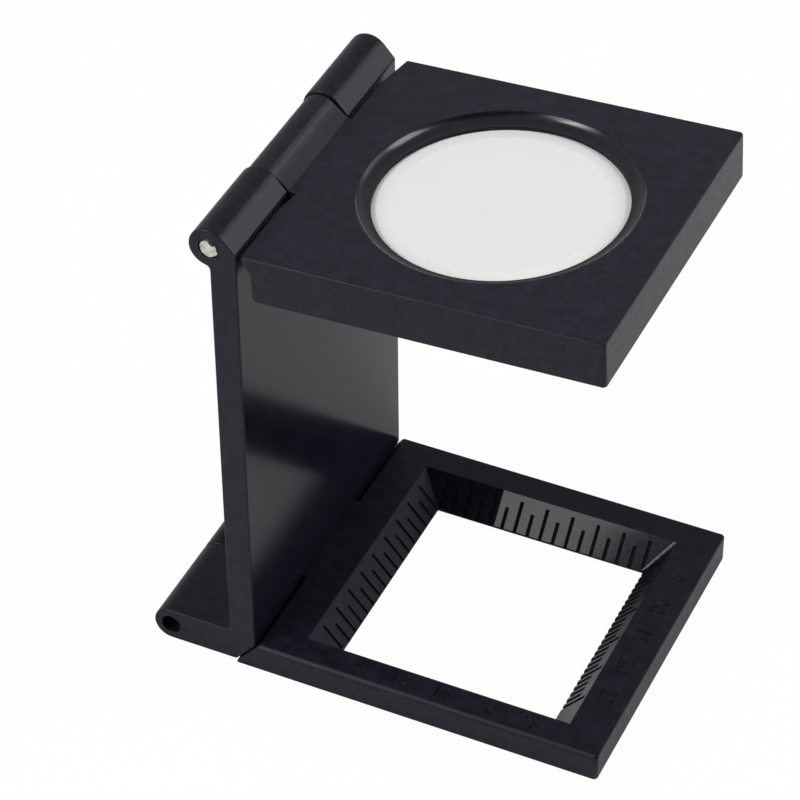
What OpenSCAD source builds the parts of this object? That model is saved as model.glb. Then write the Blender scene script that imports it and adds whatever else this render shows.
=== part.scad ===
// Folding linen tester: a bevelled counting frame, an upright and a lens plate on two pin hinges.
// Millimetres, +X towards the front, +Z up. The shape is drawn about the window's centre and moved to the
// middle of its own length by placed().

/* [Counting frame] */
// Side of the square window at its lower edge
window = 25.7; // [22:0.1:36]
// Horizontal run of the window's bevels
bevel_run = 2.85; // [2.2:0.05:4]
// Height of the square land under the bevels
land_h = 0.3; // [0.2:0.05:0.6]
// Thickness of the counting frame
base_t = 3.6; // [3:0.1:5]
// Flat top of the front bar, from the bevel to the front face
front_bar = 4.6; // [3:0.1:8]
// Flat top of each side bar
side_bar = 3.45; // [2.5:0.05:8]
// Flat top of the rear bar
rear_bar = 4.4; // [3:0.1:8]
// Slope of the frame's rear end, from the horizontal
end_angle = 50; // [40:1:60]
// Radius of the outline's upright corners
corner_r = 0.5; // [0.3:0.1:1]

/* [Engraved scales] */
// Length of the inch scale on the rear and far bevels
inch = 25.4; // [25.4:25.4]
// Divisions of the inch scale
inch_steps = 16; // [8:8:16]
// Width of an inch mark
inch_mark_w = 0.45; // [0.2:0.05:0.5]
// How far the long inch marks stop below the bevel's top edge
inch_margin = 0.75; // [0.6:0.05:1.2]
// How much shorter the short inch marks are
inch_short = 1.1; // [0.6:0.1:1.2]
// Millimetre marks on the front and near bevels
mm_steps = 25; // [15:5:25]
// Where the millimetre scale starts, past the window's corner
mm_start = 1.15; // [1:0.05:1.3]
// Width of a millimetre mark
mm_mark_w = 0.55; // [0.2:0.05:0.6]
// How far the long millimetre marks stop below the bevel's top edge
mm_margin = 0.4; // [0.3:0.1:0.8]
// How much shorter the short millimetre marks are
mm_short = 1.2; // [0.8:0.1:1.4]
// Depth of every mark
mark_depth = 0.2; // [0.1:0.05:0.3]

/* [Upright] */
// How much narrower the upright and lens plate are than the frame, on each side
side_step = 0.2; // [0.1:0.05:1]
// Thickness of the upright's panel
panel_t = 3.05; // [2.6:0.05:4]
// Setback of the panel's front face from the frame's rear top edge
panel_setback = 0.5; // [0.3:0.05:1]
// Height of the upper pin's axis
upper_pin_h = 57.95; // [45:0.05:70]
// Height of the lower pin's axis
lower_pin_h = 2.45; // [2.4:0.05:3]
// From the back of the folded lens plate to the lower pin's axis
fold_room = 1.95; // [1.9:0.05:4]
// Radius of the upright's upper knuckles
ear_r = 2.3; // [2:0.05:2.6]
// Radius of the feet round the lower pin
foot_r = 2.1; // [2:0.05:2.3]
// Fillets where the knuckles and feet meet the panel
fillet_r = 0.6; // [0.3:0.1:1]

/* [Lens plate] */
// Thickness of the lens plate
plate_t = 5.45; // [5.3:0.05:7]
// Gap between the panel and the lens plate's rear face
plate_gap = 1.38; // [1.2:0.02:2.5]
// Gap between the panel and the overhang along the top of that face
brow_gap = 0.4; // [0.3:0.05:0.8]
// Thickness of the overhang at its edge
brow_t = 0.5; // [0.3:0.1:1]
// Depth below the top over which the overhang runs back into the rear face
brow_drop = 2; // [1.4:0.1:3]
// How far the overhang is cut back beside the near side of the knuckle
knuckle_relief = 0.5; // [0.1:0.05:0.6]
// How far the overhang is cut back at the far corner
corner_relief = 0.95; // [0.3:0.05:1]
// Angle of both cuts to the plate's rear face
relief_angle = 10; // [8:1:20]
// How far the lens plate stands above level at rest
plate_tilt = 3; // [0:0.5:4]
// Radius of the lens plate's middle knuckle
tongue_r = 2.05; // [1.9:0.05:2.2]
// Length of the sloped face from the knuckle to the plate's top
facet_run = 3.1; // [2.8:0.1:3.4]
// Rounding of the plate's rear lower edge
plate_edge_r = 0.6; // [0.3:0.1:1]

/* [Lens and retaining ring] */
// Radius of the lens
lens_r = 14.8; // [12:0.1:15]
// Radius of curvature of both lens faces
lens_curve_r = 57; // [56:1:80]
// Thickness of the lens at its edge
lens_edge = 1.2; // [1:0.1:1.4]
// Radial width of the ring that holds the lens
ring_w = 1.6; // [1.2:0.1:2]
// Flat rim round the ring's cove
ring_rim = 0.1; // [0.05:0.05:0.3]
// Depth of the ring's cove at its inner edge
cove_depth = 1.1; // [0.6:0.1:1.2]
// Width of the lip under the lens
lip_w = 0.6; // [0.5:0.1:1]
// Countersink of the opening under the lip
lip_bevel = 1.5; // [0.5:0.1:1.6]

/* [Hinges] */
// Width of the frame's and the lens plate's middle knuckles
tongue_w = 14.1; // [10:0.1:18]
// Radius of both hinge pins
pin_r = 1.15; // [0.9:0.05:1.2]
// Chamfer on the pins' ends
pin_chamfer = 0.15; // [0.1:0.05:0.3]
// How deep the lower pin's ends lie in the feet
lower_pin_recess = 1.5; // [0.5:0.1:3]

/* [Clearances] */
// Running clearance of the middle knuckles on the pins
run_gap = 0.05; // [0.03:0.01:0.1]
// Side clearance of the middle knuckles
side_gap = 0.12; // [0.08:0.01:0.2]
// Gap at the stops that carry the upright and the lens plate at rest
stop_gap = 0.12; // [0.08:0.01:0.2]
// Clearance behind the panel when the lens plate is folded
fold_gap = 0.12; // [0.1:0.01:0.3]
// Clearance round the lens
lens_gap = 0.1; // [0.05:0.01:0.15]
// Clearance between the lens faces and their seats
seat_gap = 0.03; // [0.02:0.01:0.1]

/* [Hidden] */
$fn = 96;
cut = 1;

bevel_rise = base_t - land_h;
bevel_slope = atan2(bevel_rise, bevel_run);
bevel_len = norm([bevel_run, bevel_rise]);
base_w = window + 2 * (bevel_run + side_bar);
base_front = window / 2 + bevel_run + front_bar;
base_rear = -(window / 2 + bevel_run + rear_bar);
end_run = base_t / tan(end_angle);

body_w = base_w - 2 * side_step;
notch_w = tongue_w + 2 * side_gap;
panel_front = base_rear - panel_setback;
panel_back = panel_front - panel_t;
upper_pin = [panel_back, upper_pin_h];
lower_pin = [panel_back - plate_t - fold_room, lower_pin_h];
foot_top = lower_pin_h + foot_r;
foot_bottom = lower_pin_h - foot_r;
notch_floor = base_t + stop_gap;
end_shift = stop_gap / sin(end_angle);

plate_top = upper_pin_h - fold_gap;
plate_bottom = plate_top - plate_t;
plate_rear = panel_front + plate_gap;
plate_front = -plate_rear;
brow_rear = panel_front + brow_gap;

lens_mid = plate_top - plate_t / 2;
ring_r = lens_r + lens_gap;
ring_in_r = ring_r - ring_w;
lip_r = lens_r - lip_w;
ring_bottom = lens_mid + lens_half(ring_in_r) + seat_gap;
lip_top = lens_mid - lens_half(lip_r) - seat_gap;

overall_rear = lower_pin[0] - foot_r;
mid_x = (base_front + overall_rear) / 2;

// Half the lens's thickness at radius r from its axis
function lens_half(r) = lens_edge / 2 + sqrt(pow(lens_curve_r, 2) - pow(r, 2))
    - sqrt(pow(lens_curve_r, 2) - pow(lens_r, 2));

// Point where the tangent from point c touches the upper side of a circle
function tangent_point(centre, r, c) =
    let (towards = c - centre, a = atan2(towards[1], towards[0]) + acos(r / norm(towards)))
    centre + r * [cos(a), sin(a)];

// Moves the drawing to the middle of its own length
module placed() {
    translate([-mid_x, 0, 0]) children();
}

// Extrudes side profiles, drawn in X and Z, across the width w
module across(w) {
    translate([0, w / 2, 0]) rotate([90, 0, 0])
        for (i = [0 : $children - 1]) linear_extrude(w) children(i);
}

// Turns a shape about the upper pin by the lens plate's tilt at rest
module tilted() {
    translate([upper_pin[0], 0, upper_pin[1]]) rotate([0, -plate_tilt, 0])
        translate([-upper_pin[0], 0, -upper_pin[1]]) children();
}

// Rectangle from x0 to x1 and -w/2 to w/2 with round corners
module rounded_outline(x0, x1, w, r) {
    translate([x0 + r, -w / 2]) square([x1 - x0 - 2 * r, w]);
    translate([x0, -w / 2 + r]) square([x1 - x0, w - 2 * r]);
    for (x = [x0 + r, x1 - r], y = [-w / 2 + r, w / 2 - r]) translate([x, y]) circle(r, $fn = 32);
}

// Fillet for an inside corner at the origin, filling towards the signs sx and sy and sunk into the corner
module corner_fillet(r, sx, sy) {
    sunk = r / 2;
    difference() {
        polygon([for (p = [[-sunk, -sunk], [r, -sunk], [r, r], [-sunk, r]]) [p[0] * sx, p[1] * sy]]);
        translate([r * sx, r * sy]) circle(r, $fn = 32);
    }
}

// Bore across the whole width about a pin's axis
module pin_bore(pin, r) {
    translate([pin[0], 0, pin[1]]) rotate([90, 0, 0]) cylinder(h = base_w + 2 * cut, r = r, center = true);
}

// Prism that opens downwards or upwards with the window's bevels
module bevel_prism() {
    half = window / 2;
    extra = cut * bevel_run / bevel_rise;
    polygon([
        [-half, land_h], [half, land_h],
        [half + bevel_run + extra, base_t + cut], [-half - bevel_run - extra, base_t + cut]
    ]);
}

// The bevelled window
module window_cut() {
    long = base_w + window;
    intersection() {
        across(long) bevel_prism();
        rotate([0, 0, 90]) across(long) bevel_prism();
    }
    translate([-window / 2, -window / 2, -cut]) cube([window, window, base_t + cut]);
}

// One mark on the front bevel at the place y, running up the slope from the window's edge, or from just
// above the line where two bevels meet
module mark(y, length, w) {
    past = abs(y) + (w - window) / 2;
    start = past < 0 ? -cut : past / cos(bevel_slope) + mark_depth / 2;
    translate([window / 2, y, land_h]) rotate([0, -bevel_slope, 0])
        translate([start, -w / 2, -mark_depth]) cube([length - start, w, mark_depth + cut]);
}

// Sixteenths of an inch, long at every eighth, on the side turned by angle a
module inch_scale(a) {
    rotate([0, 0, a]) for (i = [0 : inch_steps])
        mark(inch * (i / inch_steps - 0.5), bevel_len - inch_margin - (i % 2) * inch_short, inch_mark_w);
}

// Millimetres, long at every fifth, counted from one corner towards the direction given
module mm_scale(a, direction) {
    zero = window / 2 + mm_start;
    rotate([0, 0, a]) for (i = [1 : mm_steps])
        mark(direction * (i - zero), bevel_len - mm_margin - (i % 5 == 0 ? 0 : mm_short), mm_mark_w);
}

// Side profile of the frame, with its slanted rear end
module base_profile() {
    polygon([[base_front, 0], [base_front, base_t], [base_rear, base_t], [base_rear - end_run, 0]]);
}

// Side profile of the frame's middle knuckle
module base_tongue_profile() {
    blend = [panel_back - foot_r / 2, base_t];
    touch = tangent_point(lower_pin, foot_r, blend);
    polygon([
        [lower_pin[0], foot_bottom], [lower_pin[0] + foot_r, 0], [base_rear, 0], [base_rear, base_t], blend,
        touch, lower_pin
    ]);
    translate(lower_pin) circle(foot_r);
}

module base_frame() {
    color([0.14, 0.14, 0.15]) placed() difference() {
        union() {
            intersection() {
                across(base_w) base_profile();
                linear_extrude(base_t)
                    rounded_outline(base_rear - end_run - 2 * corner_r, base_front, base_w, corner_r);
            }
            across(tongue_w) base_tongue_profile();
        }
        window_cut();
        inch_scale(90);
        inch_scale(180);
        mm_scale(0, -1);
        mm_scale(270, 1);
        pin_bore(lower_pin, pin_r + run_gap);
    }
}

// Fillet between the panel's back and the outer knuckles' round
module ear_fillet() {
    centre = [panel_back - fillet_r, upper_pin_h - sqrt(pow(ear_r + fillet_r, 2) - pow(fillet_r, 2))];
    difference() {
        polygon([centre, upper_pin, [panel_back + fillet_r, centre[1]]]);
        translate(centre) circle(fillet_r, $fn = 32);
    }
}

// Panel, outer knuckles and feet, before anything is cut from them
module upright_blank() {
    front_top = [panel_front, upper_pin_h];
    across(body_w) {
        translate([panel_back, foot_bottom]) square([panel_t, upper_pin_h - foot_bottom]);
        translate(upper_pin) circle(ear_r);
        polygon([
            upper_pin, tangent_point(upper_pin, ear_r, front_top), front_top, [panel_front, upper_pin_h - ear_r]
        ]);
        translate([lower_pin[0], foot_bottom]) square([panel_front - lower_pin[0], 2 * foot_r]);
        translate(lower_pin) circle(foot_r);
        translate([panel_back, foot_top]) corner_fillet(fillet_r, -1, 1);
        ear_fillet();
    }
}

// Slanted front end of the feet, parallel to the frame's rear end
module feet_front_cut() {
    top = base_rear - end_shift;
    across(base_w) polygon([
        [top, base_t], [top - end_run, 0], [top - end_run, -cut], [base_front, -cut], [base_front, base_t]
    ]);
}

// Space for the lens plate's knuckle, at rest on a tilted seat and folded back behind the panel
module upper_notch() {
    rise = tan(plate_tilt);
    seat = (tongue_r + stop_gap) / cos(plate_tilt);
    // The knuckle's sloped face when the plate hangs behind the panel, from its lower end
    facet_end = [facet_run, -fold_gap];
    facet_top = tangent_point([0, 0], tongue_r, facet_end);
    low = [2 * fold_gap + facet_end[1], -facet_end[0]];
    slope = [facet_top[1] - facet_end[1], facet_end[0] - facet_top[0]];
    corner = low + slope * ((low[0] * rise - seat - low[1]) / (slope[1] - slope[0] * rise));
    run_out = low - slope * (low[0] / slope[0]);
    back = -2 * ear_r;
    front = panel_t + cut;
    across(notch_w) translate(upper_pin) polygon([
        [front, front * rise - seat], corner, run_out, [back, run_out[1]], [back, -back], [front, -back]
    ]);
}

module upright() {
    color([0.17, 0.17, 0.18]) placed() difference() {
        upright_blank();
        feet_front_cut();
        upper_notch();
        // Space for the frame's middle knuckle
        translate([base_rear, -notch_w / 2, -cut]) mirror([1, 0, 0])
            cube([base_rear - panel_back + cut, notch_w, notch_floor + cut]);
        translate([panel_back, -notch_w / 2, -cut]) mirror([1, 0, 0])
            cube([panel_back - overall_rear + cut, notch_w, foot_top + fillet_r + 2 * cut]);
        pin_bore(upper_pin, pin_r);
        pin_bore(lower_pin, pin_r);
    }
}

// Side profile of the lens plate, with the overhang along its rear face
module plate_profile() {
    difference() {
        polygon([
            [plate_rear, plate_bottom], [plate_front, plate_bottom], [plate_front, plate_top],
            [brow_rear, plate_top], [brow_rear, plate_top - brow_t], [plate_rear, plate_top - brow_drop]
        ]);
        translate([plate_rear, plate_bottom]) corner_fillet(plate_edge_r, 1, 1);
    }
}

// Slanted cut in the overhang, as deep as w at the place y and running out towards -Y
module relief(y, w) {
    slant = tan(relief_angle);
    translate([brow_rear, y, plate_top - plate_t / 2]) linear_extrude(plate_t)
        polygon([[w, 0], [w + cut * slant, cut], [-cut, cut], [-cut, -(w + cut) / slant]]);
}

// Side profile of the lens plate's middle knuckle
module plate_tongue_profile() {
    facet_end = upper_pin + [facet_run, -fold_gap];
    under = upper_pin_h - tongue_r;
    polygon([
        [upper_pin[0], under], [plate_rear + cut, under], [plate_rear + cut, plate_top], facet_end,
        tangent_point(upper_pin, tongue_r, facet_end), upper_pin
    ]);
    translate(upper_pin) circle(tongue_r);
    translate([plate_rear, under]) corner_fillet(fillet_r, -1, -1);
}

module lens_plate() {
    color([0.16, 0.16, 0.17]) placed() tilted() difference() {
        union() {
            difference() {
                intersection() {
                    across(body_w) plate_profile();
                    linear_extrude(plate_top) rounded_outline(brow_rear, plate_front, body_w, corner_r);
                }
                relief(-tongue_w / 2, knuckle_relief);
                relief(body_w / 2, corner_relief);
            }
            across(tongue_w) plate_tongue_profile();
        }
        translate([0, 0, lip_top]) cylinder(h = plate_top - lip_top + cut, r = ring_r);
        translate([0, 0, plate_bottom - cut]) cylinder(h = plate_t, r = lip_r);
        translate([0, 0, plate_bottom]) cylinder(h = lip_bevel, r1 = lip_r + lip_bevel, r2 = lip_r);
        pin_bore(upper_pin, pin_r + run_gap);
    }
}

module lens() {
    depth = sqrt(pow(lens_curve_r, 2) - pow(lens_r, 2)) - lens_edge / 2;
    color([0.85, 0.9, 0.92, 0.4]) placed() tilted() translate([0, 0, lens_mid]) rotate_extrude()
        intersection() {
            translate([0, -lens_r]) square([lens_r, 2 * lens_r]);
            translate([0, -depth]) circle(lens_curve_r, $fn = 360);
            translate([0, depth]) circle(lens_curve_r, $fn = 360);
        }
}

// Ring pressed into the plate over the lens, hollowed by a cove
module lens_ring() {
    reach = ring_w - ring_rim;
    cove_r = (pow(reach, 2) + pow(cove_depth, 2)) / (2 * cove_depth);
    color([0.1, 0.1, 0.11]) placed() tilted() rotate_extrude() difference() {
        translate([ring_in_r, ring_bottom]) square([ring_w, plate_top - ring_bottom]);
        translate([ring_in_r, plate_top - cove_depth + cove_r]) circle(cove_r);
    }
}

// Steel pin with chamfered ends
module hinge_pin(length) {
    rotate([90, 0, 0]) {
        cylinder(h = length - 2 * pin_chamfer, r = pin_r, center = true);
        for (side = [0, 1]) mirror([0, 0, side]) translate([0, 0, length / 2 - pin_chamfer])
            cylinder(h = pin_chamfer, r1 = pin_r, r2 = pin_r - pin_chamfer);
    }
}

module upper_hinge_pin() {
    color([0.75, 0.75, 0.7]) placed() translate([upper_pin[0], 0, upper_pin[1]]) hinge_pin(body_w);
}

module lower_hinge_pin() {
    color([0.75, 0.75, 0.7]) placed() translate([lower_pin[0], 0, lower_pin[1]])
        hinge_pin(body_w - 2 * lower_pin_recess);
}

base_frame();
upright();
lens_plate();
lens();
lens_ring();
upper_hinge_pin();
lower_hinge_pin();
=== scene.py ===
import math

import bmesh
import bpy
import numpy as np
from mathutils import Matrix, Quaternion, Vector


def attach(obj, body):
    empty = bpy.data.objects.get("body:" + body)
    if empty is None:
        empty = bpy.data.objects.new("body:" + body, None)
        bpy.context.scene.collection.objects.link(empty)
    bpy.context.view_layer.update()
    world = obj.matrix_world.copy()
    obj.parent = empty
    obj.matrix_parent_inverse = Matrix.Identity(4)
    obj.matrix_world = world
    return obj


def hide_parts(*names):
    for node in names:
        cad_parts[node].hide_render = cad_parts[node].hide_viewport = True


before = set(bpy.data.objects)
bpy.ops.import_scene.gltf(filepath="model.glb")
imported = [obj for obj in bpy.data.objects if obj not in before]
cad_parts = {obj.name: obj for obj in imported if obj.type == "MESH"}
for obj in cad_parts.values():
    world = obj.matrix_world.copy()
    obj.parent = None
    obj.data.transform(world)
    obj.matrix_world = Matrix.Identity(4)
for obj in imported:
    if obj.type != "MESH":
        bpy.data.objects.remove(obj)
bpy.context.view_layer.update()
print("frame loaded:", sorted(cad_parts))

# Where the parts meet, in metres and degrees: the window and its bevels, the frame's top and two of its outer
# faces, the two pins and how far their holes' edges reach, the lens plate's tilt at rest, and the heights of
# the lens's middle and the plate's top before that tilt
layout = {
    "windowX": 0.006425,
    "windowHalf": 0.01285,
    "bevelRun": 0.00285,
    "landTop": 0.0003,
    "frameTop": 0.0036,
    "frameFront": 0.026725,
    "frameNear": -0.01915,
    "upperPin": (-0.017225, 0.05795),
    "lowerPin": (-0.024625, 0.00245),
    "holeReach": 0.0013,
    "plateTilt": 3.0,
    "lensMid": 0.055105,
    "plateTop": 0.05783,
}
# Half the window's width at the top of its bevels
windowReach = layout["windowHalf"] + layout["bevelRun"]
# The lens plate's own directions at rest: along it from the pin, and up out of its top
tilt = math.radians(layout["plateTilt"])
plateAlong = (math.cos(tilt), 0, math.sin(tilt))
plateUp = (-math.sin(tilt), 0, math.cos(tilt))
# Lengths that differ by less than this are taken as equal
touch = 1e-5
# Edges where the surface turns by more degrees than this can be rounded
creased = 28

# Camera
shot = {
    "place": (0.114795, -0.25364, 0.26854),
    "azimuth": 25.302,
    "elevation": 40.669,
    "roll": -0.571,
    "lens": 153.27,
    "sensor": 36.0,
    "clip": (0.01, 20),
}


def addCamera():
    azimuth, elevation = math.radians(shot["azimuth"]), math.radians(shot["elevation"])
    back = Vector((
        math.sin(azimuth) * math.cos(elevation), -math.cos(azimuth) * math.cos(elevation), math.sin(elevation)
    ))
    camera = bpy.data.objects.new("camera", bpy.data.cameras.new("camera"))
    bpy.context.scene.collection.objects.link(camera)
    camera.rotation_mode = "QUATERNION"
    camera.location = shot["place"]
    roll = Quaternion((0, 0, 1), math.radians(shot["roll"]))
    camera.rotation_quaternion = (-back).to_track_quat("-Z", "Y") @ roll
    camera.data.sensor_width = shot["sensor"]
    camera.data.lens = shot["lens"]
    camera.data.clip_start, camera.data.clip_end = shot["clip"]
    bpy.context.scene.camera = camera


addCamera()
print("camera placed")


# A shader socket that can stand in a sum: each operator adds its Math node to the same tree
class Wire:
    def __init__(self, tree, socket=None):
        self.tree = tree
        self.socket = socket

    # Any node: its type, its settings, then the values or links of its sockets, and the output wanted
    def node(self, kind, settings=None, sockets=None, out=0):
        made = self.tree.nodes.new("ShaderNode" + kind)
        for name, value in (settings or {}).items():
            setattr(made, name, value)
        for name, value in (sockets or {}).items():
            if isinstance(value, Wire):
                self.tree.links.new(value.socket, made.inputs[name])
            else:
                made.inputs[name].default_value = value
        return Wire(self.tree, made.outputs[out])

    def sum(self, operation, first, second=0.0):
        return self.node("Math", {"operation": operation}, {0: first, 1: second})

    def __add__(self, other):
        return self.sum("ADD", self, other)

    def __radd__(self, other):
        return self.sum("ADD", other, self)

    def __sub__(self, other):
        return self.sum("SUBTRACT", self, other)

    def __rsub__(self, other):
        return self.sum("SUBTRACT", other, self)

    def __mul__(self, other):
        return self.sum("MULTIPLY", self, other)

    def __rmul__(self, other):
        return self.sum("MULTIPLY", other, self)

    # Goes smoothly from 0 at low to 1 at high
    def between(self, low, high):
        return self.node("MapRange", {"interpolation_type": "SMOOTHSTEP"}, {"Value": self, 1: low, 2: high})

    def noise(self, place, scale, detail=2.0, roughness=0.5):
        return self.node("TexNoise", None, {
            "Vector": place, "Scale": scale, "Detail": detail, "Roughness": roughness
        })

    # Object coordinates, stretched by the three numbers given
    def place(self, stretch=(1.0, 1.0, 1.0)):
        here = self.node("TexCoord", out="Object")
        return self.node("Mapping", None, {"Vector": here, "Scale": stretch})

    def colour(self, share, first, second):
        return self.node("Mix", {"data_type": "RGBA"}, {0: share, 6: first, 7: second}, out=2)

    # Ends the tree in a Principled shader, or in the shader given
    def finish(self, sockets=None, shader=None, output="OutputMaterial"):
        end = shader or self.node("BsdfPrincipled", None, sockets)
        self.tree.links.new(end.socket, self.tree.nodes.new("ShaderNode" + output).inputs["Surface"])


def newMaterial(name):
    material = bpy.data.materials.new(name)
    material.use_nodes = True
    material.node_tree.nodes.clear()
    return material, Wire(material.node_tree)


def grey(level):
    return (level, level, level, 1)


# Colour at a level of brightness: cold where it is black, nearly plain grey where it is lighter
coldness = {"upTo": 0.012, "shares": (-0.1, 0.03, 0.85)}


def cold(level):
    tint = min(level, coldness["upTo"])
    return tuple(level + share * tint for share in coldness["shares"]) + (1,)


# Moulded plastic: cloudy colour and roughness, a fine grain, and faint drag lines along one direction.
# The dark and the light colour mix by seven parts of cloud to three of grain, with the contrast raised.
def plasticShader(g, look):
    cloud = g.noise(g.place(), look["cloudScale"], 5.0, 0.7)
    grain = g.noise(g.place(), look["grainScale"], 3.0, 0.6)
    drag = g.noise(g.place(look["dragStretch"]), look["dragScale"], 2.0, 0.5)
    share = (cloud * 0.7 + grain * 0.3).between(0.38, 0.62)
    return g.node("BsdfPrincipled", None, {
        "Base Color": g.colour(share, cold(look["dark"]), cold(look["light"])),
        "Roughness": look["rough"] + (cloud - 0.5) * look["roughSpread"] + (drag - 0.5) * look["dragRough"],
        "IOR": 1.5,
        "Specular IOR Level": look["specular"],
        "Normal": g.node("Bump", None, {
            "Strength": 1.0,
            "Distance": look["relief"],
            "Height": grain * (1 - look["dragShare"]) + drag * look["dragShare"],
        }),
    })


def plastic(name, look):
    material, g = newMaterial(name)
    g.finish(shader=plasticShader(g, look))
    return material


finishes = {
    "topMatt": {
        "dark": 0.0055, "light": 0.0123, "rough": 0.45, "roughSpread": 0.2, "dragRough": 0.05, "specular": 0.24,
        "cloudScale": 624, "grainScale": 3800, "relief": 1.6e-5, "dragShare": 0.1, "dragScale": 900,
        "dragStretch": (0.2, 1, 1),
    },
    "frameMatt": {
        "dark": 0.0042, "light": 0.0089, "rough": 0.48, "roughSpread": 0.2, "dragRough": 0.05, "specular": 0.15,
        "cloudScale": 624, "grainScale": 3800, "relief": 1.6e-5, "dragShare": 0.1, "dragScale": 900,
        "dragStretch": (0.2, 1, 1),
    },
    "sideMatt": {
        "dark": 0.0041, "light": 0.0101, "rough": 0.4, "roughSpread": 0.24, "dragRough": 0.16, "specular": 0.2,
        "cloudScale": 1008, "grainScale": 3000, "relief": 1.8e-5, "dragShare": 0.35, "dragScale": 2200,
        "dragStretch": (0.25, 0.25, 1),
    },
    "bevelSatin": {
        "dark": 0.0045, "light": 0.0085, "rough": 0.07, "roughSpread": 0.06, "dragRough": 0.03, "specular": 0.3,
        "cloudScale": 1200, "grainScale": 3800, "relief": 1.2e-6, "dragShare": 0.2, "dragScale": 1600,
        "dragStretch": (1, 1, 0.3),
    },
    "bevelDull": {
        "dark": 0.0064, "light": 0.0119, "rough": 0.34, "roughSpread": 0.16, "dragRough": 0.06, "specular": 0.12,
        "cloudScale": 1104, "grainScale": 3600, "relief": 1.2e-5, "dragShare": 0.2, "dragScale": 1600,
        "dragStretch": (1, 1, 0.3),
    },
    "facetSatin": {
        "dark": 0.0062, "light": 0.0126, "rough": 0.36, "roughSpread": 0.12, "dragRough": 0.06, "specular": 0.38,
        "cloudScale": 1008, "grainScale": 3400, "relief": 1.0e-5, "dragShare": 0.2, "dragScale": 1500,
        "dragStretch": (1, 0.2, 1),
    },
    "facetBright": {
        "dark": 0.0066, "light": 0.0132, "rough": 0.36, "roughSpread": 0.12, "dragRough": 0.06, "specular": 0.62,
        "cloudScale": 1008, "grainScale": 3400, "relief": 1.0e-5, "dragShare": 0.2, "dragScale": 1500,
        "dragStretch": (1, 0.2, 1),
    },
    # A painted highlight: far lighter than the other plastics, for the glint on the far front mitre's fillet
    "mitrePaintedGlint": {
        "dark": 0.06, "light": 0.14, "rough": 0.3, "roughSpread": 0.1, "dragRough": 0.0, "specular": 0.5,
        "cloudScale": 2000, "grainScale": 3600, "relief": 4e-6, "dragShare": 0.0, "dragScale": 900,
        "dragStretch": (1, 1, 1),
    },
    "markBlack": {
        "dark": 0.0020, "light": 0.0060, "rough": 0.7, "roughSpread": 0.1, "dragRough": 0.0, "specular": 0.12,
        "cloudScale": 900, "grainScale": 6000, "relief": 8e-6, "dragShare": 0.0, "dragScale": 900,
        "dragStretch": (1, 1, 1),
    },
    "panelPolish": {
        "dark": 0.0051, "light": 0.0079, "rough": 0.17, "roughSpread": 0.06, "dragRough": 0.03, "specular": 0.2,
        "cloudScale": 288, "grainScale": 2600, "relief": 1.6e-6, "dragShare": 0.4, "dragScale": 700,
        "dragStretch": (1, 1, 0.15),
    },
    "bodySatin": {
        "dark": 0.0044, "light": 0.0099, "rough": 0.38, "roughSpread": 0.2, "dragRough": 0.14, "specular": 0.2,
        "cloudScale": 912, "grainScale": 3200, "relief": 1.6e-5, "dragShare": 0.4, "dragScale": 1800,
        "dragStretch": (1, 1, 0.12),
    },
    "ringGloss": {
        "dark": 0.0031, "light": 0.0058, "rough": 0.2, "roughSpread": 0.02, "dragRough": 0.0, "specular": 0.44,
        "cloudScale": 720, "grainScale": 3200, "relief": 7e-7, "dragShare": 0.0, "dragScale": 900,
        "dragStretch": (1, 1, 1),
    },
}
# Same as the other sides, but the faces turned to the front shine more
finishes["frontMatt"] = {**finishes["sideMatt"], "specular": 0.4}
finish = {name: plastic(name, look) for name, look in finishes.items()}


# The far bevel carries a painted shadow over its first third and is polished past it; the front one carries painted
# shade at its far end and is polished more and more towards its near end
paintedBevelShades = {
    "bevelFarPaintedShadow": {"axis": "X", "first": 0.00065, "second": 0.00075, "most": 1.0},
    "bevelFrontPaintedShade": {"axis": "Y", "first": 0.0105, "second": -0.0125, "most": 0.72},
}


# Bevel with painted shade along an axis: a dark, dull shader mixed into the satin one, all painted shade at the first
# place and the most satin at the second
def bevelWithPaintedShade(name, look):
    material, g = newMaterial(name)
    along = g.node("SeparateXYZ", None, {"Vector": g.place()}, out=look["axis"])
    share = along.between(look["first"], look["second"]) * look["most"]
    paintedShade, satin = plasticShader(g, finishes["markBlack"]), plasticShader(g, finishes["bevelSatin"])
    g.finish(shader=g.node("MixShader", None, {0: share, 1: paintedShade, 2: satin}))
    return material


for name, look in paintedBevelShades.items():
    finish[name] = bevelWithPaintedShade(name, look)
print("plastics made:", ", ".join(finish))


# Numbers of a mesh as whole arrays: vertices, edges, and each face's middle and normal
def arrays(mesh):
    points = np.zeros(len(mesh.vertices) * 3)
    ends = np.zeros(len(mesh.edges) * 2, int)
    middles = np.zeros(len(mesh.polygons) * 3)
    normals = np.zeros(len(mesh.polygons) * 3)
    mesh.vertices.foreach_get("co", points)
    mesh.edges.foreach_get("vertices", ends)
    mesh.polygons.foreach_get("center", middles)
    mesh.polygons.foreach_get("normal", normals)
    return points.reshape(-1, 3), ends.reshape(-1, 2), middles.reshape(-1, 3), normals.reshape(-1, 3)


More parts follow.
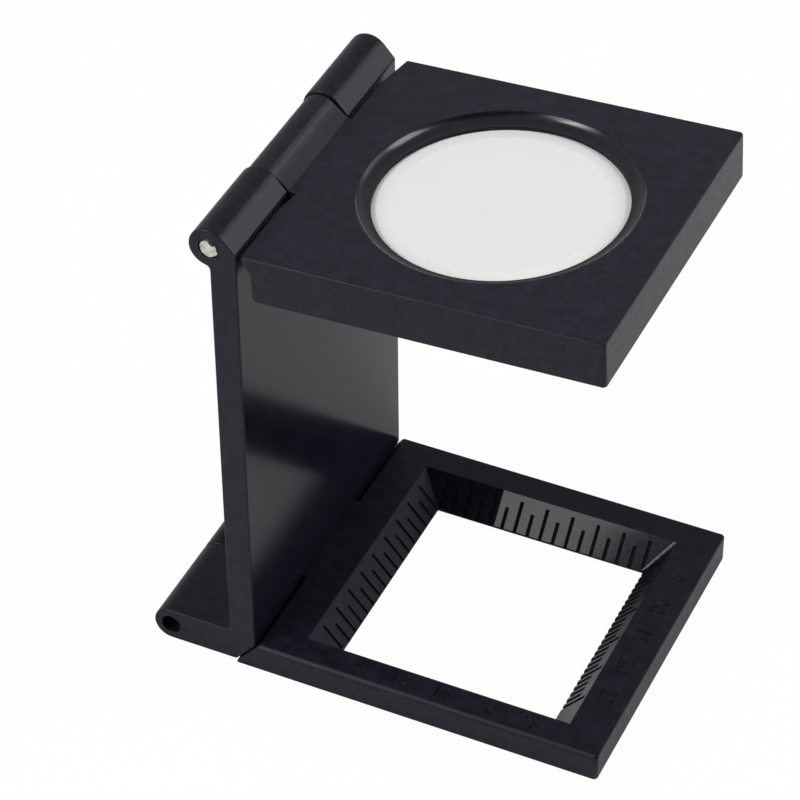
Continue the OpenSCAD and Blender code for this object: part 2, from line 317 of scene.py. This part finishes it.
# For every edge of a closed mesh: its middle, its length and the angle between its faces in degrees.
# With the edge run as its first face runs it, the angle has the sign of that run dotted with the cross product
# of the first face's normal and the second's.
def corners(mesh):
    points, ends, _, normals = arrays(mesh)
    loopEdge = np.zeros(len(mesh.loops), int)
    loopVertex = np.zeros(len(mesh.loops), int)
    loopCount = np.zeros(len(mesh.polygons), int)
    mesh.loops.foreach_get("edge_index", loopEdge)
    mesh.loops.foreach_get("vertex_index", loopVertex)
    mesh.polygons.foreach_get("loop_total", loopCount)
    loopFace = np.repeat(np.arange(len(loopCount)), loopCount)
    order = np.argsort(loopEdge, kind="stable").reshape(-1, 2)
    first, second = normals[loopFace[order[:, 0]]], normals[loopFace[order[:, 1]]]
    run = points[ends[:, 1]] - points[ends[:, 0]]
    run *= np.where(loopVertex[order[:, 0]] == ends[:, 0], 1, -1)[:, None]
    turn = np.degrees(np.arccos(np.clip((first * second).sum(1), -1, 1)))
    proud = np.sign((run * np.cross(first, second)).sum(1))
    return points[ends].mean(1), np.linalg.norm(run, axis=1), turn * proud


# Puts a piece's modifiers into its mesh
def baked(piece):
    mesh = bpy.data.meshes.new_from_object(piece.evaluated_get(bpy.context.evaluated_depsgraph_get()))
    piece.modifiers.clear()
    piece.data = mesh
    return mesh


def dress(mesh, materials):
    mesh.materials.clear()
    for material in materials:
        mesh.materials.append(material)


def addPiece(name, mesh, materials):
    piece = bpy.data.objects.new(name, mesh)
    bpy.context.scene.collection.objects.link(piece)
    dress(mesh, materials)
    return piece


# Makes a drawn mesh one skin, with every face turned outwards
def weld(mesh):
    work = bmesh.new()
    work.from_mesh(mesh)
    bmesh.ops.remove_doubles(work, verts=work.verts, dist=1e-7)
    bmesh.ops.recalc_face_normals(work, faces=work.faces)
    work.to_mesh(mesh)
    work.free()


# How the copies of CAD nodes are made: points nearer than merge become one, faces that differ by less than
# flat degrees become one, a face is level from the normal's z given, and edges over sharp degrees stay sharp
moulding = {"merge": 2e-6, "flat": 0.4, "level": 0.98, "segments": 3, "sharp": 32, "weight": 100}


# Joins the loose triangles of a mesh and makes its flat faces whole, or only those that aren't level
def joined(source, name, keepLevel):
    mesh = bpy.data.meshes.new(name)
    work = bmesh.new()
    work.from_mesh(source)
    bmesh.ops.remove_doubles(work, verts=work.verts, dist=moulding["merge"])
    edges = [
        edge for edge in work.edges
        if not keepLevel or min(abs(face.normal.z) for face in edge.link_faces) < moulding["level"]
    ]
    bmesh.ops.dissolve_limit(work, angle_limit=math.radians(moulding["flat"]), verts=[], edges=edges)
    work.to_mesh(mesh)
    work.free()
    return mesh


# Copy of a CAD node as a moulding: its flat faces made whole, the cutter's shapes engraved, and the edges
# that soften() gives a share to rounded by that share of the radius
def mouldedCopy(name, node, body, finishNames, radius, soften, cutter=None, keepLevel=False):
    materials = [finish[finishName] for finishName in finishNames]
    piece = addPiece(name, joined(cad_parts[node].data, name, keepLevel), materials)
    if cutter:
        engraving = piece.modifiers.new("engraving", "BOOLEAN")
        engraving.operation = "DIFFERENCE"
        engraving.solver = "EXACT"
        engraving.object = cutter
        piece.data = joined(baked(piece), name, keepLevel)
        bpy.data.objects.remove(cutter)
    mesh = piece.data
    weights = soften(*corners(mesh)).astype(np.float32)
    mesh.attributes.new("bevel_weight_edge", "FLOAT", "EDGE").data.foreach_set("value", weights)
    bevel = piece.modifiers.new("rounding", "BEVEL")
    bevel.limit_method = "WEIGHT"
    bevel.width = radius
    bevel.segments = moulding["segments"]
    bevel.use_clamp_overlap = False
    bevel.loop_slide = False
    mesh = baked(piece)
    mesh.polygons.foreach_set("use_smooth", np.ones(len(mesh.polygons), bool))
    mesh.set_sharp_from_angle(angle=math.radians(moulding["sharp"]))
    even = piece.modifiers.new("even", "WEIGHTED_NORMAL")
    even.keep_sharp = True
    even.weight = moulding["weight"]
    dress(baked(piece), materials)
    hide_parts(node)
    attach(piece, body)
    return piece


def nearPin(middle, pin):
    pinX, pinZ = layout[pin]
    return np.hypot(middle[:, 0] - pinX, middle[:, 2] - pinZ) < layout["holeReach"]


# Faces that slope down to the front, from the least share of the normal's x given
def sloping(normal, least):
    return (normal[:, 0] > least) & (normal[:, 0] < 0.85) & (normal[:, 2] > 0.4)


# Gives each group of faces its material by name; a later group goes over the earlier ones
def paint(piece, groups):
    names = [material.name for material in piece.data.materials]
    index = np.zeros(len(piece.data.polygons), np.int32)
    for name, chosen in groups:
        index[chosen] = names.index(name)
    piece.data.polygons.foreach_set("material_index", index)
    piece.data.update()


# Counting frame
counting = {
    "rounding": 0.00075,
    "edgeShare": 0.29,
    "footShare": 0.66,
    "bevelShare": 0.08,
    "mitreShare": 0.34,
    "mitreLeast": 0.0005,
    "mitreReach": 0.00016,
    "mitreAbove": 0.0002,
    "roundFrom": -0.01866,
    "roundRun": 0.00045,
    "footBefore": -0.016075,
    "digitSize": 0.0026,
    "digitDepth": 0.0001,
    "digitEdge": 0.0015,
    "windowMargin": 0.0004,
    "outerMargin": 0.0006,
    "frontLabels": {"x": 0.01765, "first": 0.0102, "step": -0.00514},
    "nearLabels": {"y": -0.01725, "first": -0.0088, "step": 0.00505},
}


# One cutter with the plain numbers 5 to 25 of both millimetre scales, as deep as the digits go
def scaleNumbers():
    front, near = counting["frontLabels"], counting["nearLabels"]
    points, faces = [], []
    for number in range(5):
        text = bpy.data.curves.new("digits", "FONT")
        text.body = str(5 + 5 * number)
        text.size = counting["digitSize"]
        text.align_x, text.align_y = "CENTER", "CENTER"
        text.extrude = counting["digitDepth"]
        text.resolution_u = 3
        holder = bpy.data.objects.new("digits", text)
        bpy.context.scene.collection.objects.link(holder)
        drawn = bpy.data.meshes.new_from_object(holder.evaluated_get(bpy.context.evaluated_depsgraph_get()))
        bpy.data.objects.remove(holder)
        weld(drawn)
        right, up, out = arrays(drawn)[0].T
        # Front bar: read towards -Y with the digits' heads towards +X; near bar: read towards +X, heads inwards
        onFront = (layout["windowX"] + front["x"] + up, front["first"] + number * front["step"] - right)
        onNear = (layout["windowX"] + near["first"] + number * near["step"] + right, near["y"] + up)
        for x, y in (onFront, onNear):
            placed = np.stack([x, y, layout["frameTop"] + out], 1)
            start = sum(len(p) for p in points)
            points.append(placed)
            faces += [[start + v for v in polygon.vertices] for polygon in drawn.polygons]
    mesh = bpy.data.meshes.new("scaleNumbers")
    mesh.from_pydata(np.concatenate(points).tolist(), [], faces)
    return addPiece("scaleNumbers", mesh, [])


# Where the numbers stand: on the front and the near bar, clear of the window and of the outer edges
def onLabels(middle):
    x, y = middle[:, 0], middle[:, 1]
    clear = windowReach + counting["windowMargin"]
    fromEdge = np.minimum(layout["frameFront"] - x, y - layout["frameNear"])
    return ((x - layout["windowX"] > clear) | (y < -clear)) & (fromEdge > counting["outerMargin"])


def addCountingFrame():
    half, top, land = layout["windowHalf"], layout["frameTop"], layout["landTop"]

    def soften(middle, length, turn):
        x, y, z = middle[:, 0] - layout["windowX"], middle[:, 1], middle[:, 2]
        inWindow = np.maximum(abs(x), abs(y)) < windowReach + touch
        atTop = abs(z - top) < touch
        share = np.where(inWindow, np.where(atTop, counting["bevelShare"], 0), counting["edgeShare"])
        share[nearPin(middle, "lowerPin")] = 0
        share[(z < 10 * touch) & (middle[:, 0] < counting["footBefore"])] = counting["footShare"]
        # The near bar's outer edge is the roundest, and its two corners lead up to it
        nearness = np.clip((counting["roundFrom"] - y) / counting["roundRun"], 0, 1)
        outerTop = atTop & ~inWindow & (nearness > 0)
        share[outerTop] += (1 - counting["edgeShare"]) * nearness[outerTop]
        small = (abs(z - top) < 2 * counting["digitDepth"]) & (length < counting["digitEdge"])
        share[small & onLabels(middle)] = 0
        share = np.where(turn > creased, share, 0)
        # Of the mitres, hollow edges where two bevels meet, only the far front one is rounded; its fillet carries a
        # painted highlight
        mitre = inWindow & (abs(x - y) < 2 * touch) & (x > 0) & (turn < -creased)
        share[mitre & (length > counting["mitreLeast"])] = counting["mitreShare"]
        return share

    piece = mouldedCopy(
        "countingFrame", "base_frame", "base",
        (
            "frameMatt", "sideMatt", "bevelSatin", "markBlack", "bevelDull", "bevelFarPaintedShadow", "mitrePaintedGlint", "bevelFrontPaintedShade",
            "frontMatt",
        ),
        counting["rounding"], soften, scaleNumbers(), keepLevel=True,
    )
    middle, normal = arrays(piece.data)[2:]
    x, y, z = middle[:, 0] - layout["windowX"], middle[:, 1], middle[:, 2]
    outward = np.maximum(abs(x), abs(y))
    inside = (outward < windowReach - 2 * touch) & (z < top - 2 * touch) & (z > touch)
    bevelHeight = land + (outward - half) * (top - land) / layout["bevelRun"]
    onBevel = inside & (abs(z - bevelHeight) < 3 * touch) & (normal[:, 2] > 0.5)
    # The far front mitre's fillet, which gets a painted highlight
    onMitre = (
        inside & (np.minimum(x, y) > half - 10 * touch) & (abs(x - y) < counting["mitreReach"])
        & (z > land + counting["mitreAbove"]) & (normal[:, :2].max(1) < -0.2)
    )
    onLand = inside & (z < land) & (abs(outward - half) < touch)
    inDigits = (z < top - 2 * touch) & (z > top - 1.6 * counting["digitDepth"]) & onLabels(middle)
    onFront = (normal[:, 0] > 0.95) & (middle[:, 0] > layout["frameFront"] - 10 * touch)
    # The far and the front bevel get painted shade, and the far front mitre's fillet gets a painted highlight
    paint(piece, [
        ("sideMatt", abs(normal[:, 2]) < 0.9), ("markBlack", inside), ("bevelSatin", onBevel),
        ("bevelDull", onBevel & (x < -abs(y))), ("bevelFarPaintedShadow", onBevel & (y > abs(x))),
        ("bevelFrontPaintedShade", onBevel & (x > abs(y))), ("sideMatt", onLand), ("frameMatt", inDigits),
        ("mitrePaintedGlint", onMitre), ("frontMatt", onFront),
    ])


addCountingFrame()
print("counting frame done")


# Upright
uprightLook = {"rounding": 0.0002, "holeShare": 0.35, "panelFrom": 0.004, "panelTo": 0.0575}


def addUpright():
    def soften(middle, length, turn):
        share = np.ones(len(turn))
        share[nearPin(middle, "upperPin") | nearPin(middle, "lowerPin")] = uprightLook["holeShare"]
        return np.where(turn > creased, share, 0)

    piece = mouldedCopy(
        "uprightPanel", "upright", "upright", ("bodySatin", "panelPolish", "facetSatin"),
        uprightLook["rounding"], soften,
    )
    middle, normal = arrays(piece.data)[2:]
    height = middle[:, 2]
    onPanel = (normal[:, 0] > 0.99) & (height > uprightLook["panelFrom"]) & (height < uprightLook["panelTo"])
    onFacets = sloping(normal, 0.5) & (height > uprightLook["panelTo"])
    paint(piece, [("panelPolish", onPanel), ("facetSatin", onFacets)])


addUpright()
print("upright done")


# Lens plate
plateLook = {
    "rounding": 0.00022, "bowlShare": 0.2, "bowlReach": 0.0155, "sinkReach": 0.0165, "facetBefore": -0.0135,
    "frontFrom": 0.024,
}


def addLensPlate():
    # The bowl's edges on top are rounded a little, and the countersink's edge below stays sharp
    def soften(middle, length, turn):
        share = np.ones(len(turn))
        fromAxis = np.hypot(middle[:, 0] - layout["windowX"], middle[:, 1])
        share[fromAxis < plateLook["sinkReach"]] = 0
        share[fromAxis < plateLook["bowlReach"]] = plateLook["bowlShare"]
        share[nearPin(middle, "upperPin")] = 0
        return np.where(turn > creased, share, 0)

    piece = mouldedCopy(
        "lensPlate", "lens_plate", "lens_holder",
        ("topMatt", "sideMatt", "facetBright", "frontMatt"), plateLook["rounding"], soften,
    )
    middle, normal = arrays(piece.data)[2:]
    onFacet = sloping(normal, 0.4) & (middle[:, 0] < plateLook["facetBefore"])
    onFront = (normal[:, 0] > 0.95) & (middle[:, 0] > plateLook["frontFrom"])
    paint(piece, [("sideMatt", abs(normal[:, 2]) < 0.9), ("facetBright", onFacet), ("frontMatt", onFront)])


addLensPlate()
print("lens plate done")


# Grid of rings: a profile of (radius, height) points carried round an upright axis in equal steps. A point's x
# is its radius times the cosine of its angle, y its radius times the sine, and z its height; a point of
# radius 0 becomes one pole. Edges that turn by more than the sharp degrees stay sharp.
def turned(name, profile, steps, place, sharp=40):
    radius, height = np.array(profile, float).T
    angle = np.linspace(0, 2 * np.pi, steps, endpoint=False)
    rows = np.stack([
        radius[:, None] * np.cos(angle), radius[:, None] * np.sin(angle), np.repeat(height[:, None], steps, 1)
    ], 2)
    count = len(radius)
    i, j = np.meshgrid(np.arange(count - 1), np.arange(steps), indexing="ij")
    k = (j + 1) % steps
    faces = np.stack([i * steps + j, (i + 1) * steps + j, (i + 1) * steps + k, i * steps + k], 2).reshape(-1, 4)
    mesh = bpy.data.meshes.new(name)
    mesh.from_pydata(place(rows.reshape(-1, 3)).tolist(), [], faces.tolist())
    weld(mesh)
    mesh.polygons.foreach_set("use_smooth", np.ones(len(mesh.polygons), bool))
    mesh.set_sharp_from_angle(angle=math.radians(sharp))
    return mesh


# Moves points drawn about the window's upright axis to the lens plate, tilted about the upper pin: the pin's
# place, plus the distance from the pin in x times plateAlong, plus that in z times plateUp
def ontoPlate(points):
    pinX, pinZ = layout["upperPin"]
    along, up = points[:, 0] + layout["windowX"] - pinX, points[:, 2] - pinZ
    return np.stack([
        pinX + along * plateAlong[0] + up * plateUp[0], points[:, 1], pinZ + along * plateAlong[2] + up * plateUp[2]
    ], 1)


# Lens
lensLook = {
    "radius": 0.0148, "upperCurve": 0.072, "lowerCurve": 0.057, "edge": 0.0012, "lift": 0.00045, "chamfer": 0.00012,
    "index": 1.2, "glass": (0.79, 0.81), "rimFrom": 0.0113, "rimTo": 0.0119, "rimWhite": 0.8, "rimSpeck": 0.04,
    "paintedLightFrom": 0.0127, "paintedLightTo": 0.0132, "bright": 0.17, "rings": 48, "steps": 160,
}


# Half the lens's thickness at a radius: half the edge plus the height of the spherical cap there
def lensHalf(radius, curve):
    cap = np.sqrt(curve ** 2 - radius ** 2)
    return lensLook["edge"] / 2 + cap - math.sqrt(curve ** 2 - lensLook["radius"] ** 2)


def clearGlass(g):
    smear = g.noise(g.place(), 180, 2.0, 0.5)
    dark, light = lensLook["glass"]
    return g.node("BsdfPrincipled", None, {
        "Base Color": g.colour(smear.between(0.35, 0.75), grey(dark), grey(light)),
        "Roughness": 0.0,
        "IOR": lensLook["index"],
        "Transmission Weight": 1.0,
    })


# Glass that turns to a white rim of painted light, standing in for the white seen through the glass: the distance
# from the axis is the root of along squared plus across squared, where along is the place dotted with plateAlong,
# less that product at the axis, and across is y
def rimmedGlass():
    material, g = newMaterial("lensRim")
    pinX, pinZ = layout["upperPin"]
    axisAlong = pinX * plateAlong[0] + pinZ * plateAlong[2] + layout["windowX"] - pinX
    along = g.node("VectorMath", {"operation": "DOT_PRODUCT"}, {0: g.place(), 1: plateAlong}, out="Value") - axisAlong
    across = g.node("SeparateXYZ", None, {"Vector": g.place()}, out="Y")
    fromAxis = g.sum("SQRT", along * along + across * across)
    share = fromAxis.between(lensLook["rimFrom"], lensLook["rimTo"])
    # Painted light: the rim is whiter still at its outermost edge, where the ring's shade falls
    bright = lensLook["bright"] * fromAxis.between(lensLook["paintedLightFrom"], lensLook["paintedLightTo"])
    white = lensLook["rimWhite"] + bright - lensLook["rimSpeck"] * g.noise(g.place(), 300, 2.0, 0.5)
    paintedWhiteRim = g.node("BsdfPrincipled", None, {
        "Base Color": g.node("CombineColor", None, {"Red": white, "Green": white, "Blue": white}),
        "Roughness": 0.5,
        "IOR": 1.5,
    })
    g.finish(shader=g.node("MixShader", None, {0: share, 1: clearGlass(g), 2: paintedWhiteRim}))
    return material


# The profile runs out along the lower cap, up the edge with a chamfer at either side, and back along the upper cap
def addLens():
    rim = lensLook["radius"] - lensLook["chamfer"]
    radius = rim * np.sin(np.linspace(0, np.pi / 2, lensLook["rings"]))
    under, over = lensHalf(radius, lensLook["lowerCurve"]), lensHalf(radius, lensLook["upperCurve"])
    side = lensLook["edge"] / 2 - lensLook["chamfer"]
    upper = layout["lensMid"] + lensLook["lift"]
    profile = np.concatenate([
        np.stack([radius, layout["lensMid"] - under], 1),
        [[lensLook["radius"], layout["lensMid"] - side], [lensLook["radius"], upper + side]],
        np.stack([radius, upper + over], 1)[::-1],
    ])
    plain, g = newMaterial("lensGlass")
    g.finish(shader=clearGlass(g))
    disc = turned("lensDisc", profile, lensLook["steps"], ontoPlate)
    piece = addPiece("lensDisc", disc, [plain, rimmedGlass()])
    paint(piece, [("lensRim", arrays(piece.data)[3][:, 2] > 0.5)])
    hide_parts("lens")
    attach(piece, "lens_holder")


addLens()
print("lens done")


# Retaining ring
ringLook = {
    "outer": 0.0149, "width": 0.00163, "rim": 0.0001, "cove": 0.00087, "lipTurn": 1.5, "seat": 0.00003,
    "edge": 0.00012, "coveSteps": 26, "steps": 192,
}


# Arc of a circle from one angle to another, in degrees, as (radius, height) points: the centre plus the
# arc's radius times the cosine and the sine of the angle
def arc(centre, radius, start, end, count):
    angle = np.radians(np.linspace(start, end, count))
    return np.stack([centre[0] + radius * np.cos(angle), centre[1] + radius * np.sin(angle)], 1)


# The cove is an arc, level at its inner end, that rises by cove over reach: its radius is reach squared plus
# cove squared, over twice cove
def addRing():
    inner = ringLook["outer"] - ringLook["width"]
    low = layout["lensMid"] + lensLook["lift"] + float(lensHalf(inner, lensLook["upperCurve"])) + ringLook["seat"]
    reach = ringLook["width"] - ringLook["rim"]
    bow = (reach ** 2 + ringLook["cove"] ** 2) / (2 * ringLook["cove"])
    lip = math.degrees(math.asin(reach / bow)) - ringLook["lipTurn"]
    half = ringLook["edge"] / 2
    profile = np.concatenate([
        [[inner + half, low], [ringLook["outer"], low], [ringLook["outer"], layout["plateTop"] - half]],
        arc((inner, layout["plateTop"] - ringLook["cove"] + bow), bow, lip - 90, -90, ringLook["coveSteps"]),
        [[inner, low + half], [inner + half, low]],
    ])
    ring = turned("lensRing", profile, ringLook["steps"], ontoPlate)
    piece = addPiece("lensRing", ring, [finish["ringGloss"], finish["frameMatt"]])
    # Only the cove is polished: the walls are square to the plate's top
    paint(piece, [("frameMatt", abs(arrays(piece.data)[3] @ np.array(plateUp)) < 0.1)])
    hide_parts("lens_ring")
    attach(piece, "lens_holder")


addRing()
print("ring done")


# Pins
pinLook = {
    "metallic": 0.6, "rough": 0.42, "roughSpread": 0.3, "relief": 2e-5, "ragged": 0.0009, "fade": 5e-5,
    "biteFade": 8e-5, "darkAround": (0.02, 0.02, 0.022, 1),
    "upper_hinge_pin": {
        "name": "pinSteel", "light": (0.60, 0.59, 0.50, 1), "dark": (0.34, 0.33, 0.29, 1), "at": layout["upperPin"],
        "reach": 0.00098, "bite": (0.0004, 0.0009), "biteReach": 0.0005,
    },
    # The lower pin sits deep in its hole: its near-black colours are painted shade
    "lower_hinge_pin": {
        "name": "pinSteelPaintedShade", "light": (0.05, 0.05, 0.048, 1), "dark": (0.02, 0.02, 0.02, 1),
        "at": layout["lowerPin"], "reach": 0.001, "bite": (0.0, 0.0014), "biteReach": 0.0003,
    },
}


# Near-black past the reach from the pin's middle, and in a bite beside it
def steel(look):
    material, g = newMaterial(look["name"])
    cloud = g.noise(g.place(), 1500, 3.0, 0.6)
    grain = g.noise(g.place((1, 0.2, 1)), 5200, 3.0, 0.6)
    ragged = (g.noise(g.place((1, 0, 1)), 1300, 2.0, 0.6) - 0.5) * pinLook["ragged"]

    def off(x, z):
        return g.node("VectorMath", {"operation": "DISTANCE"}, {
            0: g.place((1, 0, 1)), 1: (look["at"][0] + x, 0, look["at"][1] + z)
        }, out="Value") + ragged

    within = 1 - off(0, 0).between(look["reach"] - pinLook["fade"], look["reach"] + pinLook["fade"])
    paleShare = within * off(*look["bite"]).between(look["biteReach"] - pinLook["biteFade"], look["biteReach"])
    bright = g.colour(cloud.between(0.35, 0.7), look["light"], look["dark"])
    g.finish({
        "Base Color": g.colour(paleShare, pinLook["darkAround"], bright),
        "Metallic": pinLook["metallic"],
        "Roughness": pinLook["rough"] + (grain - 0.5) * pinLook["roughSpread"],
        "Normal": g.node("Bump", None, {"Strength": 1.0, "Distance": pinLook["relief"], "Height": grain}),
    })
    return material


for node in ("upper_hinge_pin", "lower_hinge_pin"):
    dress(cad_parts[node].data, [steel(pinLook[node])])
print("pins done")

# Studio
studio = {
    "floorSize": 8.0,
    "floorLevel": -5e-5,
    "floorWhite": 0.82,
    "floorClear": 0.97,
    "worldDiffuse": 0.44,
    "surround": 0.5,
    "overhead": (0.1, 0.8),
    "overheadLoss": 0.1,
    "darkSide": (0.527, -0.78, 0.33),
    "darkEdges": (0.62, 0.9),
    "darkLoss": 0.9,
    "lampAim": (0, 0, 0.03),
    "lamps": [
        {"name": "leftBox", "towards": (-0.549, -0.702, 0.454), "distance": 0.7, "size": (0.43, 0.44), "level": 3.6},
        {"name": "rightBox", "towards": (0.763, 0.219, 0.608), "distance": 0.7, "size": (0.3, 0.33), "level": 6.6},
        {"name": "backBox", "towards": (0.65, 0.69, 0.33), "distance": 0.9, "size": (0.44, 0.34), "level": 1.15},
        {"name": "glintBox", "towards": (-0.523, -0.561, 0.643), "distance": 0.7, "size": (0.13, 0.27), "level": 12},
    ],
}


# Two switches by kind of ray: from the camera, also once it has come through glass, and off a glossy face
def rayKinds(g):
    camera = g.node("LightPath", out="Is Camera Ray")
    kinds = camera.socket.node.outputs
    seen = g.sum("MINIMUM", camera + Wire(g.tree, kinds["Is Transmission Ray"]), 1.0)
    return seen, Wire(g.tree, kinds["Is Glossy Ray"])


# The camera looks through all but a trace of the floor, to the white surround and to what folds away below it
def addFloor():
    half, level = studio["floorSize"] / 2, studio["floorLevel"]
    corner = [(-half, -half, level), (half, -half, level), (half, half, level), (-half, half, level)]
    mesh = bpy.data.meshes.new("floor")
    mesh.from_pydata(corner, [], [(0, 1, 2, 3)])
    material, g = newMaterial("floorWhite")
    share = rayKinds(g)[0] * studio["floorClear"]
    white = g.node("BsdfDiffuse", None, {"Color": grey(studio["floorWhite"])})
    clear = g.node("BsdfTransparent")
    g.finish(shader=g.node("MixShader", None, {0: share, 1: white, 2: clear}))
    floor = addPiece("floor", mesh, [material])


def addLamps():
    for look in studio["lamps"]:
        towards = Vector(look["towards"]).normalized()
        data = bpy.data.lights.new(look["name"], "AREA")
        data.shape = "RECTANGLE"
        data.size, data.size_y = look["size"]
        data.energy = look["level"] * math.pi * look["size"][0] * look["size"][1]
        lamp = bpy.data.objects.new(look["name"], data)
        bpy.context.scene.collection.objects.link(lamp)
        lamp.location = Vector(studio["lampAim"]) + towards * look["distance"]
        lamp.rotation_mode = "QUATERNION"
        lamp.rotation_quaternion = (-towards).to_track_quat("-Z", "Y")
        lamp.visible_camera = False


# White for the camera and through glass, a plain level for the object's own light, and for gloss
# a pale surround that falls off overhead and on one dark side
def addWorld():
    world = bpy.data.worlds.new("studio")
    bpy.context.scene.world = world
    world.use_nodes = True
    world.node_tree.nodes.clear()
    g = Wire(world.node_tree)
    seen, glossy = rayKinds(g)
    towards = g.node("TexCoord", out="Generated")
    height = g.node("SeparateXYZ", None, {"Vector": towards}, out="Z")
    side = g.node("VectorMath", {"operation": "DOT_PRODUCT"}, {0: towards, 1: studio["darkSide"]}, out="Value")
    overhead = 1.0 - studio["overheadLoss"] * height.between(*studio["overhead"])
    shade = 1.0 - studio["darkLoss"] * side.between(*studio["darkEdges"])
    level = studio["worldDiffuse"] * (1 - glossy) + overhead * shade * glossy * studio["surround"]
    strength = seen + (1 - seen) * level
    shader = g.node("Background", None, {"Color": (1, 1, 1, 1), "Strength": strength})
    g.finish(shader=shader, output="OutputWorld")


addFloor()
addLamps()
addWorld()
bpy.context.scene.view_settings.view_transform = "Standard"
print("studio done")
